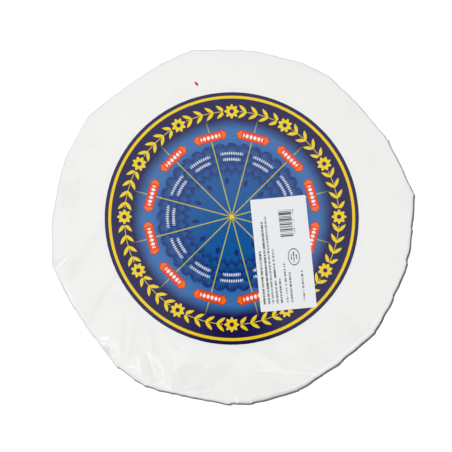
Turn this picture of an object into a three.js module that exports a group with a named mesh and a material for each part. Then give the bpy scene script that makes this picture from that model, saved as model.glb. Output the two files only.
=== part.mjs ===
// A whole wheel of soft white-rind cheese as it is sold: shut in a taut white wrap that is pleated
// round the side and tucked under, with a round label and a paper data sticker on its top.
// Millimetres and degrees. +Z is up and +Y points to the top of the label. Angles run
// counter-clockwise from +X, and the origin is under the middle of the wheel, on its resting face.

import * as THREE from "three";

// The cheese that gives the wrap its form.
const CHEESE_RADIUS = 173.5;
const WHEEL_HEIGHT = 32;
const SHOULDER_RADIUS = 6;
const TOP_BED_RADIUS = 146;
const TOP_FALL = 0.6;

// The wheel stands on a flat foot under its middle, and its edge is a little off the ground. The end
// of each pleat is tucked under as far as the foot, and the foot is drawn in between those ends.
const FOOT_RADIUS = 145;
const FOOT_NOTCH = 6;
const EDGE_RISE = 0.8;

// The wrap's pleats, each by its angle and by how far its tip stands proud of the cheese.
const PLEATS = [
  { angle: 9.5, proud: 10 },
  { angle: 29, proud: 3.6 },
  { angle: 46, proud: 1.8 },
  { angle: 58, proud: 5.4 },
  { angle: 67, proud: 4.5 },
  { angle: 84, proud: 3.8 },
  { angle: 104, proud: 8.2 },
  { angle: 116, proud: 4.2 },
  { angle: 130, proud: 2.8 },
  { angle: 144, proud: 8.5 },
  { angle: 159.5, proud: 7.7 },
  { angle: 170, proud: 6 },
  { angle: 181, proud: 7.8 },
  { angle: 194, proud: 11.4 },
  { angle: 208, proud: 6.1 },
  { angle: 219, proud: 5 },
  { angle: 231.5, proud: 9.5 },
  { angle: 242, proud: 9.5 },
  { angle: 254, proud: 4.1 },
  { angle: 264, proud: 3.1 },
  { angle: 276, proud: 5.7 },
  { angle: 291, proud: 4 },
  { angle: 322, proud: 3.9 },
  { angle: 335, proud: 2.2 },
  { angle: 347, proud: 4.4 },
  { angle: 358, proud: 5 },
];
const TIP_RADIUS = 4;
const PROUD_AT_TOP = 0.85;
const PROUD_AT_FOOT = 0.4;

// Each pleat's spare wrap is laid flat against the side as a flap with one free lip. The wrap just
// past the lip lies lower, all of the drop at the foot of the side and a share of it at the top.
const LIP_DROP = 1.4;
const DROP_AT_TOP = 0.5;
const DROP_WIDTH = 10;
const LIP_STEP = 0.35;
const PLEAT_LEAN = -3;

// The round label and the sticker over it, placed from the wheel's axis.
const LABEL_RADIUS = 125;
const LABEL_THICKNESS = 0.3;
const LABEL_CENTRE = new THREE.Vector2(-2, 5.7);
const STICKER_WIDTH = 55;
const STICKER_LENGTH = 111;
const STICKER_THICKNESS = 0.25;
const STICKER_CORNER_RADIUS = 1.2;
const STICKER_FROM_LABEL_CENTRE = new THREE.Vector2(50.7, -36.1);
const STICKER_TURN = 5.3;

// How finely the curved surfaces are faceted.
const COLUMN_STEP = 2.4;
const SHOULDER_STEPS = 4;
const REACH_STEP = 1;
const REACH_SPREAD = 40;
const LABEL_SIDES = 96;
const CORNER_SEGMENTS = 4;

const FULL_TURN = 360;
const QUARTER_TURN = 90;

const sine = (degrees) => Math.sin(THREE.MathUtils.degToRad(degrees));
const cosine = (degrees) => Math.cos(THREE.MathUtils.degToRad(degrees));

// The angles of the surface's columns. A pleat has one column on the lip of its flap and one just
// past the lip, and the rest are spread evenly up to the next pleat.
function columnAngles() {
  return PLEATS.flatMap((pleat, i) => {
    const next = PLEATS[(i + 1) % PLEATS.length];
    const start = pleat.angle + LIP_STEP;
    const gap = THREE.MathUtils.euclideanModulo(next.angle - start, FULL_TURN);
    const steps = Math.max(2, Math.round(gap / COLUMN_STEP));
    const between = Array.from({ length: steps }, (_, k) => start + (gap * k) / steps);
    return [pleat.angle, ...between];
  });
}

// How far round the wheel an angle is past the last pleat's lip before it.
function anglePastLip(angle) {
  const pastLips = PLEATS.map((pleat) =>
    THREE.MathUtils.euclideanModulo(angle - pleat.angle, FULL_TURN),
  );
  return Math.min(...pastLips);
}

const isOnLip = (angle) => anglePastLip(angle) < LIP_STEP / 2;

// How much of the drop past a pleat's lip is left at an angle: 0 on the lip itself, 1 just past it,
// and less as the wrap comes back out to its full outline.
function dropPastLip(angle) {
  const distance = THREE.MathUtils.degToRad(anglePastLip(angle) - LIP_STEP) * CHEESE_RADIUS;
  return isOnLip(angle) ? 0 : Math.max(0, 1 - distance / DROP_WIDTH);
}

// The levels of the wrapped form, from the middle of the underside out, up and back to the middle
// of the top. At each level the cheese is a circle of the given radius, the shares say how much of
// the pleats' tips and of the drop past their lips shows there, and the notch says how far the wrap
// is drawn in between the lips. Pleats lean round the wheel as they go down.
function wheelLevels() {
  const edge = CHEESE_RADIUS - SHOULDER_RADIUS;
  const level = (radius, z, proudShare = 0, dropShare = 0, notch = 0) => ({
    radius,
    z,
    proudShare,
    dropShare,
    notch,
    lean: PLEAT_LEAN * (1 - z / WHEEL_HEIGHT),
  });
  const turns = Array.from({ length: SHOULDER_STEPS }, (_, k) => (QUARTER_TURN * (k + 1)) / SHOULDER_STEPS);
  const lowerShoulder = turns.map((turn) =>
    level(
      edge + SHOULDER_RADIUS * sine(turn),
      EDGE_RISE + SHOULDER_RADIUS * (1 - cosine(turn)),
      THREE.MathUtils.lerp(PROUD_AT_FOOT, 1, sine(turn)),
      sine(turn),
    ),
  );
  const upperShoulder = turns.map((turn) =>
    level(
      edge + SHOULDER_RADIUS * cosine(turn),
      WHEEL_HEIGHT - SHOULDER_RADIUS * (1 - sine(turn)) - TOP_FALL * sine(turn),
      THREE.MathUtils.lerp(PROUD_AT_TOP, 1, cosine(turn)),
      DROP_AT_TOP * cosine(turn),
    ),
  );
  const wallTop = level(CHEESE_RADIUS, WHEEL_HEIGHT - SHOULDER_RADIUS, 1, DROP_AT_TOP);
  return [
    level(0, 0),
    level(FOOT_RADIUS, 0, 0, 0, FOOT_NOTCH),
    level(edge, EDGE_RISE, PROUD_AT_FOOT),
    ...lowerShoulder,
    wallTop,
    ...upperShoulder,
    level(TOP_BED_RADIUS, WHEEL_HEIGHT),
    level(0, WHEEL_HEIGHT),
  ];
}

// The taut wrap runs straight from tip to tip, so a level's outline is the convex hull of the
// cheese's circle and the rounded pleat tips. A hull reaches, in any direction, as far as the
// furthest of its members.
function hullReaches(level) {
  return Array.from({ length: FULL_TURN / REACH_STEP }, (_, k) => {
    const tips = PLEATS.map(({ angle, proud }) => {
      const tipCentre = level.radius + proud * level.proudShare - TIP_RADIUS;
      return tipCentre * cosine(k * REACH_STEP - angle) + TIP_RADIUS;
    });
    return Math.max(level.radius, ...(level.proudShare > 0 ? tips : []));
  });
}

// A hull's radius at an angle is where the ray first meets one of the edge lines of its reaches.
function hullRadius(reaches, angle) {
  const nearest = Math.round(angle / REACH_STEP);
  let radius = Infinity;
  for (let k = nearest - REACH_SPREAD; k <= nearest + REACH_SPREAD; k += 1) {
    const reach = reaches[THREE.MathUtils.euclideanModulo(k, reaches.length)];
    radius = Math.min(radius, reach / cosine(k * REACH_STEP - angle));
  }
  return radius;
}

// The cheese in its wrap: a turned blank whose columns are moved out to the pleated outline.
function makeWrappedWheel() {
  const levels = wheelLevels();
  const columns = columnAngles();
  const blank = levels.map(({ radius, z }) => new THREE.Vector2(radius, z));
  const geometry = new THREE.LatheGeometry(blank, columns.length);
  const position = geometry.getAttribute("position");
  levels.forEach((level, row) => {
    const reaches = hullReaches(level);
    for (let turn = 0; turn <= columns.length; turn += 1) {
      const angle = columns[turn % columns.length];
      const drop = LIP_DROP * level.dropShare * dropPastLip(angle);
      const notch = isOnLip(angle) ? 0 : level.notch;
      const radius = hullRadius(reaches, angle) - drop - notch;
      const place = angle + level.lean;
      position.setXYZ(turn * levels.length + row, radius * cosine(place), radius * sine(place), level.z);
    }
  });
  geometry.computeVertexNormals();
  const film = new THREE.MeshStandardMaterial({ color: 0xefefed, roughness: 0.35, metalness: 0 });
  const wheel = new THREE.Mesh(geometry, film);
  wheel.name = "wrapped_wheel";
  return wheel;
}

// A disc of printed label, flat on the bed of the top.
function makeRoundLabel() {
  const geometry = new THREE.CylinderGeometry(LABEL_RADIUS, LABEL_RADIUS, LABEL_THICKNESS, LABEL_SIDES);
  geometry.rotateX(Math.PI / 2);
  const print = new THREE.MeshStandardMaterial({ color: 0x2b3f86, roughness: 0.3, metalness: 0 });
  const label = new THREE.Mesh(geometry, print);
  label.name = "round_label";
  label.position.set(LABEL_CENTRE.x, LABEL_CENTRE.y, WHEEL_HEIGHT + LABEL_THICKNESS / 2);
  return label;
}

// A rectangle of white paper with rounded corners, stuck on the label a little askew.
function makeDataSticker() {
  const right = STICKER_WIDTH / 2;
  const top = STICKER_LENGTH / 2;
  const corner = STICKER_CORNER_RADIUS;
  const outline = new THREE.Shape();
  outline.moveTo(right, corner - top);
  outline.lineTo(right, top - corner);
  outline.absarc(right - corner, top - corner, corner, 0, Math.PI / 2);
  outline.absarc(corner - right, top - corner, corner, Math.PI / 2, Math.PI);
  outline.absarc(corner - right, corner - top, corner, Math.PI, 1.5 * Math.PI);
  outline.absarc(right - corner, corner - top, corner, 1.5 * Math.PI, 2 * Math.PI);
  const sheet = { depth: STICKER_THICKNESS, bevelEnabled: false, curveSegments: CORNER_SEGMENTS };
  const paper = new THREE.MeshStandardMaterial({ color: 0xe6e8e9, roughness: 0.6, metalness: 0 });
  const sticker = new THREE.Mesh(new THREE.ExtrudeGeometry(outline, sheet), paper);
  sticker.name = "data_sticker";
  sticker.position.set(
    LABEL_CENTRE.x + STICKER_FROM_LABEL_CENTRE.x,
    LABEL_CENTRE.y + STICKER_FROM_LABEL_CENTRE.y,
    WHEEL_HEIGHT + LABEL_THICKNESS,
  );
  sticker.rotation.z = THREE.MathUtils.degToRad(STICKER_TURN);
  return sticker;
}

// The whole wheel, moved so that the middle of its uneven outline stands on the origin.
function makeCheeseWheel() {
  const wheel = makeWrappedWheel();
  wheel.geometry.computeBoundingBox();
  const middle = wheel.geometry.boundingBox.getCenter(new THREE.Vector3());
  const group = new THREE.Group();
  group.add(wheel, makeRoundLabel(), makeDataSticker());
  group.position.set(-middle.x, -middle.y, 0);
  return group;
}

// The exported group keeps its own frame at the origin, with the moved wheel inside it.
const cheeseWheel = new THREE.Group();
cheeseWheel.add(makeCheeseWheel());

export default cheeseWheel;
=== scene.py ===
import functools
import math

import bpy
import numpy as np
from mathutils import Color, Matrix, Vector


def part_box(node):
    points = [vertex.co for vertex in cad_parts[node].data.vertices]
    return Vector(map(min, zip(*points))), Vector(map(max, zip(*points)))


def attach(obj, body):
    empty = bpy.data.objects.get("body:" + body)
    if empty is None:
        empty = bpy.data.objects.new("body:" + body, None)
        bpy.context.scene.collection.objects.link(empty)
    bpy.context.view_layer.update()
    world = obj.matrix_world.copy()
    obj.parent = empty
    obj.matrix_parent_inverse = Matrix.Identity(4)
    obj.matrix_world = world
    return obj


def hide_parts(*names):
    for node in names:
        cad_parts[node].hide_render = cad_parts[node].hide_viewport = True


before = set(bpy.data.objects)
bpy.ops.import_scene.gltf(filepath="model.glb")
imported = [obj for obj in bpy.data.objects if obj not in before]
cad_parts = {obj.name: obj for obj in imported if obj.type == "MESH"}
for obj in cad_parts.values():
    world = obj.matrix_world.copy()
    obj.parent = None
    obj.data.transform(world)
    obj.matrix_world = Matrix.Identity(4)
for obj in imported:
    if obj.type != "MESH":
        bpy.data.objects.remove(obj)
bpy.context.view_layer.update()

# The wrapped wheel: a soft white-rind cheese shut in white paper under clear film. The wrap is drawn
# taut over the top, runs straight from pleat tip to pleat tip round the side, and its pleats are
# laid over one way and tucked under. Sizes are in millimetres, and angles run from +X.
MM = 0.001
WHEEL_HEIGHT = 32
CHEESE_RADIUS = 173.5
SHOULDER_RADIUS = 6
EDGE_RADIUS = CHEESE_RADIUS - SHOULDER_RADIUS
EDGE_RISE = 0.8
FOOT_RADIUS = 145
TOP_EDGE_RADIUS = 2.4
TOP_EDGE_FROM = CHEESE_RADIUS - TOP_EDGE_RADIUS
TOP_BED_RADIUS = 146
TOP_FALL = 0.6
PLEATS = (
    (9.5, 10), (29, 3.6), (46, 1.8), (58, 5.4), (67, 4.5), (84, 3.8), (104, 8.2), (116, 4.2),
    (130, 2.8), (144, 8.5), (159.5, 7.7), (170, 6), (181, 7.8), (194, 11.4), (208, 6.1), (219, 5),
    (231.5, 9.5), (242, 9.5), (254, 4.1), (269, 5.6), (276, 5.7), (291, 4), (322, 3.9), (335, 2.2),
    (347, 4.4), (358, 5),
)  # each pleat's angle, and how far its tip stands proud of the cheese
TIP_RADIUS = 4
PROUD_AT_TOP = 0.85
PROUD_AT_FOOT = 0.4
PLEAT_LEAN = math.radians(-3)
LIP_DROP = 1.4
DROP_AT_TOP = 0.5
DROP_WIDTH = 10
LABEL_FROM_AXIS = (-2, 5.7)
label_low, label_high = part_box("round_label")
label_centre = (label_low + label_high) / 2
wheel_axis = label_centre.xy - Vector(LABEL_FROM_AXIS) * MM

# The wrap is made of rings, from the middle of its underside to the middle of its top. They lie
# closest together where the pleats end below, at the edges and where the top is folded.
COLUMNS = 960
FOOT_RINGS = (0, 25, 45, 55, 58, 60, 62, 64, 66, 70, 80, 95, 110, 125, 137, FOOT_RADIUS)
SOLE_RINGS = 7
TURN_IN_RINGS = 6
WALL_RINGS = 10
TURN_OVER_RINGS = 8
SLOPE_RINGS = 22
BED_RING_GAP = 1.5
BED_RINGS_TO = 116
MIDDLE_RINGS = (90, 60, 30, 0)


def onward(start, end, steps):
    """Evenly spaced values from start to end, without the first."""
    return np.linspace(start, end, steps + 1)[1:]


def ring_rows(circle, height, proud, drop):
    """Rings as rows: the cheese's circle, the height, and the shares of pleat and lip."""
    return np.column_stack(np.broadcast_arrays(circle, height, proud, drop)).astype(float)


sole = onward(FOOT_RADIUS, EDGE_RADIUS, SOLE_RINGS)
sole_share = (sole - FOOT_RADIUS) / (EDGE_RADIUS - FOOT_RADIUS)
turn_in = onward(0, math.pi / 2, TURN_IN_RINGS)
wall = onward(EDGE_RISE + SHOULDER_RADIUS, WHEEL_HEIGHT - TOP_EDGE_RADIUS, WALL_RINGS)
wall_share = onward(0, 1, WALL_RINGS)
turn_over = onward(0, math.pi / 2, TURN_OVER_RINGS)
slope = onward(TOP_EDGE_FROM, TOP_BED_RADIUS, SLOPE_RINGS)
slope_share = (slope - TOP_BED_RADIUS) / (TOP_EDGE_FROM - TOP_BED_RADIUS)
bed = np.append(np.arange(TOP_BED_RADIUS - BED_RING_GAP, BED_RINGS_TO, -BED_RING_GAP), MIDDLE_RINGS)
rings = np.vstack([
    ring_rows(FOOT_RINGS, 0, 0, 0),
    ring_rows(sole, EDGE_RISE * sole_share, PROUD_AT_FOOT * sole_share, 0),
    ring_rows(
        EDGE_RADIUS + SHOULDER_RADIUS * np.sin(turn_in),
        EDGE_RISE + SHOULDER_RADIUS * (1 - np.cos(turn_in)),
        PROUD_AT_FOOT + (1 - PROUD_AT_FOOT) * np.sin(turn_in),
        np.sin(turn_in),
    ),
    ring_rows(CHEESE_RADIUS, wall, 1, 1 + (DROP_AT_TOP - 1) * wall_share),
    ring_rows(
        TOP_EDGE_FROM + TOP_EDGE_RADIUS * np.cos(turn_over),
        WHEEL_HEIGHT - TOP_EDGE_RADIUS * (1 - np.sin(turn_over)) - TOP_FALL * np.sin(turn_over),
        PROUD_AT_TOP + (1 - PROUD_AT_TOP) * np.cos(turn_over),
        DROP_AT_TOP * np.cos(turn_over),
    ),
    ring_rows(slope, WHEEL_HEIGHT - TOP_FALL * slope_share, PROUD_AT_TOP * slope_share, 0),
    ring_rows(bed, WHEEL_HEIGHT, 0, 0),
])

# A sheet with one row to each ring is laid round the wheel.
SHEET_SIZE = 2
last_ring = len(rings) - 1
bpy.ops.object.select_all(action="DESELECT")
bpy.ops.mesh.primitive_grid_add(x_subdivisions=COLUMNS, y_subdivisions=last_ring, size=SHEET_SIZE)
wrap = bpy.context.object
wrap.name = "film_wrap"
sheet = np.empty(len(wrap.data.vertices) * 3)
wrap.data.vertices.foreach_get("co", sheet)
sheet_x, sheet_y, _ = sheet.reshape(-1, 3).T / SHEET_SIZE + 0.5
column = np.round(sheet_x * COLUMNS).astype(int) % COLUMNS
ring = np.round(sheet_y * last_ring).astype(int)

# Where each ring and column lies before it is creased. The film is drawn tight round the cheese and
# the tips, a little further in on the right, with an uneven rim and a small drop behind each lip.
FACINGS = 360
LEAST_COSINE = 0.75
DRAWN_TOWARDS = math.radians(339)
DRAWN_MIDDLE = 1.67
DRAWN_SWING = 0.95
RIM_WAVE = 0.08
RIM_WAVES = 29
RIM_RIPPLE = 0.16
RIM_RIPPLES = 47
RIM_RIPPLE_GROUPS = 9
turn = np.arange(COLUMNS) * math.tau / COLUMNS
pleat_proud = np.array([proud for _, proud in PLEATS])
pleat_turn = np.radians([angle for angle, _ in PLEATS])
pleat_turn = np.round(pleat_turn * COLUMNS / math.tau) * math.tau / COLUMNS


def taut_radius(circle, share):
    """Radius, column by column, of a film drawn tight round a circle and the pleats' round tips."""
    facing = np.radians(np.arange(FACINGS))
    tip = circle + share * pleat_proud - TIP_RADIUS
    reach = (tip[:, None] * np.cos(facing - pleat_turn[:, None]) + TIP_RADIUS).max(0)
    reach = np.maximum(circle, reach) if share > 0 else np.full(FACINGS, circle)
    away = np.cos(turn[:, None] - facing)
    return np.where(away > LEAST_COSINE, reach / np.maximum(away, LEAST_COSINE), np.inf).min(1)


def shortest_arc(gaps):
    """The shortest of some angles one way round, in millimetres along the cheese's edge."""
    return (gaps % math.tau).min(1) * CHEESE_RADIUS


after_lip = shortest_arc(turn[:, None] - pleat_turn)
before_lip = shortest_arc(pleat_turn - turn[:, None])
one_column = CHEESE_RADIUS * math.tau / COLUMNS
on_lip = after_lip < one_column / 2
lip_drop = np.where(on_lip, 0, np.clip(1 - (after_lip - one_column) / DROP_WIDTH, 0, 1))
circle, height, proud, drop = rings.T
radius = np.array([taut_radius(*row) for row in zip(circle, proud)])
drawn_in = DRAWN_MIDDLE + DRAWN_SWING * np.cos(turn - DRAWN_TOWARDS)
uneven = RIM_RIPPLE * np.sin(RIM_RIPPLES * turn + 2) * np.sin(RIM_RIPPLE_GROUPS * turn)
uneven += RIM_WAVE * np.sin(RIM_WAVES * turn + 1)
radius -= drawn_in * (1 + uneven) * proud[:, None]
rim = radius[np.argmax(circle)]
radius -= LIP_DROP * drop[:, None] * lip_drop
level = np.repeat(height[:, None], COLUMNS, 1)

# On the near side the film is slack, and slopes down to the rim.
SLACK_TOWARDS = math.radians(284)
SLACK_SPREAD = math.radians(18)
SLACK_WIDTH = 6
SLACK_DROP = 1.7
TOP_FROM = 24
TOP_OVER = 6


def top_share(level):
    """How far a level counts as the top, from 0 on the side to 1 above."""
    return np.clip((level - TOP_FROM) / TOP_OVER, 0, 1)


slack = np.clip(1 - ((turn - SLACK_TOWARDS) / SLACK_SPREAD) ** 2, 0, 1)
near_rim = np.clip((radius - rim) / SLACK_WIDTH + 1, 0, 1) ** 2
level -= SLACK_DROP * slack * near_rim * top_share(level)
place = turn + PLEAT_LEAN * (1 - level / WHEEL_HEIGHT)
east, north = radius * np.cos(place), radius * np.sin(place)
along = np.gradient(rings[:, :2], axis=0)
outward = (along[:, 1] / np.hypot(*along.T))[:, None]
upward = (-along[:, 0] / np.hypot(*along.T))[:, None]
on_top = top_share(level)
on_side = np.clip(outward, 0, 1)

# Folds that the film keeps on the top, each as its inner and its outer end, by distance and angle
# about the wheel's axis, its half width at the outer end and its height.
TOP_FOLDS = (
    ((131, 184.3), (172, 199.2), 6.5, 0.6),
    ((126, 204.5), (173, 214.6), 4.5, 0.6),
    ((128, 199), (172, 208), 5, -0.3),
    ((134, 218.1), (173, 230.2), 2.4, 0.5),
    ((133, 225.5), (163, 232.1), 3.2, -0.4),
    ((128, 231), (165, 241), 5, 0.4),
    ((160, 234.4), (178, 237.6), 6, 1.5),
    ((152, 236.3), (174, 244.6), 5.5, 1.7),
    ((166, 192), (184, 195.2), 3.2, 0.8),
    ((135, 246), (158, 250), 7, 0.4),
    ((133, 262), (166, 257), 8, 0.35),
    ((141, 255), (172, 268), 5, -0.35),
    ((163, 252.2), (171, 253.4), 1.3, 0.7),
    ((168, 270.2), (176, 271.2), 1.4, 0.7),
    ((130, 276), (158, 288), 8, 0.45),
    ((146, 292), (160, 299), 6, -0.3),
    ((132, 300), (168, 306), 9, 0.3),
    ((136, 318), (170, 323), 8, 0.3),
    ((139, 172), (172, 181), 6, 0.3),
    ((138, 346), (174, 351), 7, 0.2),
    ((140, 20), (174, 16), 8, 0.15),
    ((138, 118), (173, 110), 8, 0.15),
    ((137, 64), (172, 62), 7, 0.12),
)
FOLD_INNER_WIDTH = 0.25
FOLD_RISES_OVER = 0.5
FOLD_ENDS_AT = 1.4
FOLD_FALLS_OVER = 0.4


def compass(distance, degrees):
    """A point on the top from its distance and angle about the wheel's axis."""
    angle = math.radians(degrees)
    return np.array((distance * math.cos(angle), distance * math.sin(angle)))


def fold_lift(inner, outer, half_width, rise):
    """Lift of a straight fold that is sharp along its crest and widens towards its outer end."""
    start = compass(*inner)
    run = compass(*outer) - start
    length = math.hypot(*run)
    forth = ((east - start[0]) * run[0] + (north - start[1]) * run[1]) / length ** 2
    aside = ((north - start[1]) * run[0] - (east - start[0]) * run[1]) / length
    wide = half_width * (FOLD_INNER_WIDTH + (1 - FOLD_INNER_WIDTH) * np.clip(forth, 0, 1))
    rising = np.clip(forth / FOLD_RISES_OVER, 0, 1)
    falling = np.clip((FOLD_ENDS_AT - forth) / FOLD_FALLS_OVER, 0, 1)
    return rise * rising * falling * np.clip(1 - np.abs(aside) / wide, 0, 1)


lift = sum(fold_lift(*fold) for fold in TOP_FOLDS) * on_top

# A thin crease just inside the rim where the film is doubled, raised a little and with a painted
# highlight along it, and a crumpled ear beside a pleat, with as many flat faces as it has planes.
RIM_CREASE_FROM, RIM_CREASE_TO = np.radians((283, 331))
RIM_CREASE_END = 0.08
RIM_CREASE_INSET = 3.4
RIM_CREASE_HALF_WIDTH = 1.4
RIM_CREASE_RISE = 0.3
RIM_CREASE_HIGHLIGHT = 0.45
EAR_PLACE = compass(172, 225.5)
EAR_PLANES = 9
EAR_SCATTER = 0.7
EAR_RISE = 1.5
EAR_RISE_SPREAD = (0.7, 1.3)
EAR_STEEPNESS = (0.1, 0.4)
from_crease_end = np.minimum(turn - RIM_CREASE_FROM, RIM_CREASE_TO - turn)
crease_gap = np.abs(rim - RIM_CREASE_INSET - radius) / RIM_CREASE_HALF_WIDTH
on_crease = np.clip(from_crease_end / RIM_CREASE_END, 0, 1) * np.clip(1 - crease_gap, 0, 1) * on_top
lift += RIM_CREASE_RISE * on_crease
chance = np.random.default_rng(7)
ear = np.full_like(level, EAR_RISE)
ear_turns = np.arange(EAR_PLANES) + chance.uniform(0, EAR_SCATTER, EAR_PLANES)
for facing in ear_turns * math.tau / EAR_PLANES:
    ahead = (east - EAR_PLACE[0]) * math.cos(facing) + (north - EAR_PLACE[1]) * math.sin(facing)
    plane_rise = EAR_RISE * chance.uniform(*EAR_RISE_SPREAD)
    ear = np.minimum(ear, plane_rise - chance.uniform(*EAR_STEEPNESS) * ahead)
lift += np.clip(ear, 0, None) * on_top

# Painted light and shade on the top: faces of the film painted darker or paler, for the shade and
# the light that their tilts would catch. Each is given as its value and its corners, by distance
# and angle about the axis.
PAINTED_FACES = (
    (-0.5, (137, 183), (130, 183), (140, 190), (153, 193),
     (168, 199.5), (174, 199.5), (164, 194), (152, 190)),
    (-0.5, (126, 204), (136, 205), (161, 211), (176, 214),
     (173, 215), (158, 212), (141, 209), (127, 205.5)),
    (-0.4, (134, 218), (146, 221), (160, 225.5), (171, 230), (160, 229), (142, 222)),
    (-0.25, (132, 225), (149, 229), (170, 231.5), (158, 235), (140, 230)),
    (-0.35, (130, 230), (148, 237.5), (152, 241.5), (145, 241), (137, 236.5)),
    (-0.4, (134, 239), (139, 245), (139, 248), (131, 245.5)),
    (0.1, (137, 239.5), (146, 246), (155, 248.5), (141, 252.5), (130, 248.5), (129, 245), (137, 248)),
    (-0.55, (161, 248), (150, 249.5), (142, 254.5), (146, 260.5), (170, 262), (175, 253), (172, 249.5)),
    (0.25, (161, 235), (178, 236), (174, 239)),
    (0.06, (153, 236.5), (154, 240.5), (160, 244.5), (169, 246.5), (174, 245.5), (167, 242.5)),
    (-0.4, (159, 235.5), (154, 237), (167, 242.5), (176, 239)),
    (-1.0, (177, 223), (171, 225), (179, 227.5), (180, 225.5)),
    (0.15, (170, 224.5), (165, 226.5), (175, 230), (178, 227.5)),
    (-0.6, (181, 192), (168, 191.5), (183, 195)),
    (-1.0, (182, 197), (179, 199), (177, 207.5), (179, 208)),
    (-0.4, (146, 260), (136, 268.5), (139, 269.5), (165, 263), (170, 261.5)),
    (0.12, (134, 269.5), (124, 275), (127, 279.5), (153, 289), (146, 278), (159, 274)),
    (-0.25, (125, 279.5), (126, 287), (152, 290), (154, 289.5)),
    (0.1, (123, 289), (131, 298.5), (144, 293), (141, 291.5)),
    (-0.12, (135, 317), (162, 325), (159, 312), (147, 309)),
    (-0.4, (177, 167), (158, 164), (154, 174), (173, 175)),
    (-0.4, (130, 178), (127, 180.5), (132, 187.5), (138, 187), (140, 184)),
)
# Painted highlights along the bright creases.
PAINTED_GLINTS = (
    (0.9, 1.4, (168, 191.8), (183, 195.2)),
    (0.6, 1.3, (176, 200), (177, 208)),
    (0.55, 1.2, (175, 222.3), (170, 224.7), (165, 226.3), (175, 230.8)),
    (1.2, 1.8, (172, 221.4), (167, 222.7)),
    (0.9, 2.0, (173, 234.4), (171, 235.6)),
    (0.6, 1.3, (161, 234.8), (174, 238.9)),
    (0.7, 1.2, (153, 236.7), (154, 240.7), (160, 244.6), (168, 246.1), (174, 245.8)),
    (0.4, 1.2, (153, 236.7), (167, 242.6)),
    (0.5, 1.5, (177, 243.3), (171, 246.5), (174, 249.2)),
    (0.9, 1.3, (166, 253.9), (169, 253.6)),
    (1.0, 1.3, (172, 270.6), (176, 270.4), (174, 271.4)),
    (0.5, 1.4, (174, 252.4), (170, 257.1), (166, 261.7)),
    (0.35, 1.4, (146, 278.2), (154, 289.1), (170, 298.9)),
)  # each painted highlight's value, its half width and its path


def inside(corners):
    """Where the film lies within the corners of a face."""
    found = np.zeros(east.shape, bool)
    for (x0, y0), (x1, y1) in zip(corners, corners[1:] + corners[:1]):
        between = (y0 > north) != (y1 > north)
        found ^= between & ((east - x0) * abs(y1 - y0) < (north - y0) * (x1 - x0) * np.sign(y1 - y0))
    return found


def near(path, half_width):
    """How close the film lies to a crease, from 1 on its path to 0 at its half width."""
    gap = np.full(east.shape, np.inf)
    for start, end in zip(path, path[1:]):
        run = end - start
        share = ((east - start[0]) * run[0] + (north - start[1]) * run[1]) / (run @ run)
        foot_x, foot_y = start[:, None, None] + np.clip(share, 0, 1) * run[:, None, None]
        gap = np.minimum(gap, np.hypot(east - foot_x, north - foot_y))
    return np.clip(1 - gap / half_width, 0, 1)


# The painted light and shade of the top: the rim crease's painted highlight, the painted faces and the
# painted highlights along creases.
painted_light = RIM_CREASE_HIGHLIGHT * on_crease
for shade, *corners in PAINTED_FACES:
    painted_light = np.where(inside([compass(*corner) for corner in corners]), shade, painted_light)
for shade, half_width, *path in PAINTED_GLINTS:
    painted_light += (shade - painted_light) * near([compass(*point) for point in path], half_width)
painted_light *= on_top

# Small creases that slant down the side, where the spare film is drawn under the wheel, with painted
# light and shade on their sides as well as relief, a painted highlight on the edge of each lip with a
# painted shade behind it, and a slow unevenness of the paper below.
SIDE_CREASES = 190
SIDE_CREASE_RISE = 0.9
SIDE_CREASE_SHADING = 1.1
SIDE_CREASE_LEAN = (-0.9, 0.35)
SIDE_CREASE_HEIGHT = (2, 28)
SIDE_CREASE_HALF_LENGTH = (5, 15)
SIDE_CREASE_HALF_WIDTH = (1.2, 3.6)
LIP_PAINTED_LIGHT = 1.0
LIP_PAINTED_LIGHT_WIDTH = 3.0
PAPER_WAVE = 0.12
side_relief = np.zeros_like(level)
for _ in range(SIDE_CREASES):
    middle = chance.uniform(0, math.tau)
    lean = chance.uniform(*SIDE_CREASE_LEAN)
    centre_height = chance.uniform(*SIDE_CREASE_HEIGHT)
    half_length = chance.uniform(*SIDE_CREASE_HALF_LENGTH)
    half_width = chance.uniform(*SIDE_CREASE_HALF_WIDTH)
    rise = SIDE_CREASE_RISE * chance.uniform(-1, 1)
    arc = ((place - middle + math.pi) % math.tau - math.pi) * CHEESE_RADIUS
    aside = np.abs(arc - lean * (level - centre_height)) / half_width
    reach = np.abs(level - centre_height) / half_length
    side_relief += rise * np.clip(1 - aside, 0, 1) * np.clip(1 - reach, 0, 1)
lift += side_relief * on_side
lift += PAPER_WAVE * np.sin(3 * place + 0.05 * radius) * np.sin(7 * place + 1) * on_side
# A painted highlight before each lip and a painted shade after it, and painted light and shade on the
# creases by their relief.
lip_painted_highlight, lip_painted_shade = (np.clip(1 - arc / LIP_PAINTED_LIGHT_WIDTH, 0, 1) for arc in (before_lip, after_lip))
side_painted_light = SIDE_CREASE_SHADING / SIDE_CREASE_RISE * side_relief + LIP_PAINTED_LIGHT * (lip_painted_highlight - lip_painted_shade)
painted_light += side_painted_light * on_side

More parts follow.
